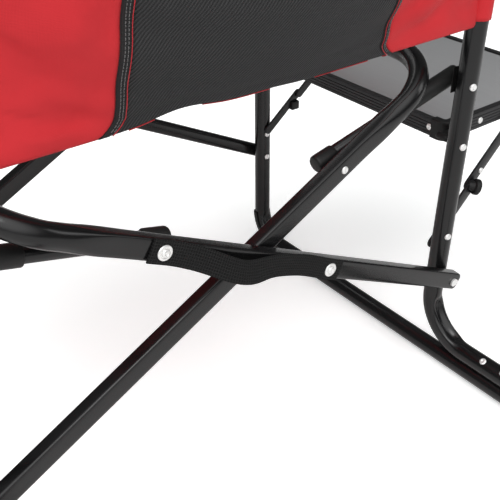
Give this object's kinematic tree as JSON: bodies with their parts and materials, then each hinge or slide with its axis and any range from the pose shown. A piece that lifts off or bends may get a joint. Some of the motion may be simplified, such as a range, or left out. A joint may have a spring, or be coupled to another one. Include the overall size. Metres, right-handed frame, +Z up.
{
  "type": "folding rocking camp chair",
  "caption": "Folding camp chair on floor rails with upswept tails, crossed seat tubes, slung seat and back, arms and a fold-down side table.",
  "frame": {"origin": "on the floor, under the middle of the bounding box", "axes": "+Z up, +Y the way the sitter faces, +X the side with the table"},
  "size_m": [0.9674, 0.7428, 0.9297],
  "materials": {
    "tube": "satin black powder coat",
    "plastic": "moulded black",
    "steel": "bright rivet steel",
    "flat": "satin black",
    "edge": "black anodised, ribbed",
    "top": "grey brushed panel",
    "web": "black webbing",
    "red": "red nylon"
  },
  "bodies": {
    "root": {"front_leg_rail_right": "tube", "rear_leg_post_right": "tube", "arm_plate_right": "flat", "armrest_right": "plastic", "rear_glide_right": "plastic", "front_glide_right": "plastic", "tail_plug_right": "plastic", "post_cap_right": "plastic", "link_bracket_right_rear": "plastic", "link_bracket_right_front": "plastic", "back_sling": "red"},
    "left_frame": {"front_leg_rail_left": "tube", "rear_leg_post_left": "tube", "arm_plate_left": "flat", "armrest_left": "plastic", "rear_glide_left": "plastic", "front_glide_left": "plastic", "tail_plug_left": "plastic", "post_cap_left": "plastic", "link_bracket_left_rear": "flat", "link_bracket_left_front": "flat"},
    "seat_frame_a": {"cross_spacer_rear": "plastic", "pivot_bolt_a_rear": "steel", "cross_spacer_front": "plastic", "pivot_bolt_a_front": "steel", "seat_tube_a": "tube", "carry_strap": "web", "seat_sling": "red"},
    "seat_frame_b": {"pivot_bolt_b_rear": "steel", "pivot_bolt_b_front": "steel", "seat_tube_b": "tube"},
    "right_links": {"link_right_rear": "tube", "link_right_front": "tube"},
    "left_links": {"link_left_rear": "tube", "link_left_front": "tube"},
    "table": {"table_lug_rear": "plastic", "table_lug_front": "plastic", "table_edge_frame": "edge", "table_top": "top"},
    "strut_lower_rear": {"table_strut_lower_rear": "flat"},
    "strut_upper_rear": {"table_strut_upper_rear": "flat"},
    "strut_lower_front": {"table_strut_lower_front": "flat"},
    "strut_upper_front": {"table_strut_upper_front": "flat"}
  },
  "joints": [
    {"name": "seat_fold", "type": "hinge", "parent": "root", "child": "seat_frame_a", "pos_m": [0.18975, -0.06887, 0.1413], "axis": [0, 0.9975, 0.0707], "range_deg": [0, 42], "deforming": ["seat_sling", "back_sling"]},
    {"name": "cross_pivot", "type": "hinge", "parent": "seat_frame_a", "child": "seat_frame_b", "pos_m": [-0.12825, -0.06887, 0.30475], "axis": [0, 0.9975, 0.0707], "range_deg": [-84, 0]},
    {"name": "left_pivot", "type": "hinge", "parent": "seat_frame_b", "child": "left_frame", "pos_m": [-0.44625, -0.06887, 0.1413], "axis": [0, 0.9975, 0.0707], "range_deg": [0, 42]},
    {"name": "right_link_pivot", "type": "hinge", "parent": "root", "child": "right_links", "pos_m": [0.18975, -0.06887, 0.415], "axis": [0, 0.9975, 0.0707], "range_deg": [0, 79.2]},
    {"name": "left_link_pivot", "type": "hinge", "parent": "left_frame", "child": "left_links", "pos_m": [-0.42025, -0.06887, 0.41], "axis": [0, 0.9975, 0.0707], "range_deg": [-86, 0]},
    {"name": "table_fold", "type": "hinge", "parent": "root", "child": "table", "pos_m": [0.18975, 0.14433, 0.337], "axis": [0, 1, 0], "range_deg": [0, 90]},
    {"name": "strut_foot_rear", "type": "hinge", "parent": "root", "child": "strut_lower_rear", "pos_m": [0.18975, 0.14433, 0.1768], "axis": [0, 1, 0], "range_deg": [0, 131]},
    {"name": "strut_top_rear", "type": "hinge", "parent": "table", "child": "strut_upper_rear", "pos_m": [0.33955, 0.14433, 0.3215], "axis": [0, 1, 0], "range_deg": [-147, 0]},
    {"name": "strut_foot_front", "type": "hinge", "parent": "root", "child": "strut_lower_front", "pos_m": [0.18975, 0.14433, 0.2205], "axis": [0, 1, 0], "range_deg": [0, 92.6]},
    {"name": "strut_top_front", "type": "hinge", "parent": "table", "child": "strut_upper_front", "pos_m": [0.31445, 0.14433, 0.3215], "axis": [0, 1, 0], "range_deg": [-189.8, 0]}
  ],
  "couplings": [
    {"joint": "cross_pivot", "follows": "seat_fold", "ratio": -2},
    {"joint": "left_pivot", "follows": "seat_fold", "ratio": 1},
    {"joint": "right_link_pivot", "follows": "seat_fold", "ratio": 1.883},
    {"joint": "left_link_pivot", "follows": "seat_fold", "ratio": -2.0438},
    {"joint": "strut_foot_rear", "follows": "table_fold", "ratio": 1.4546},
    {"joint": "strut_top_rear", "follows": "table_fold", "ratio": -1.6318},
    {"joint": "strut_foot_front", "follows": "table_fold", "ratio": 1.0275},
    {"joint": "strut_top_front", "follows": "table_fold", "ratio": -2.1075}
  ]
}
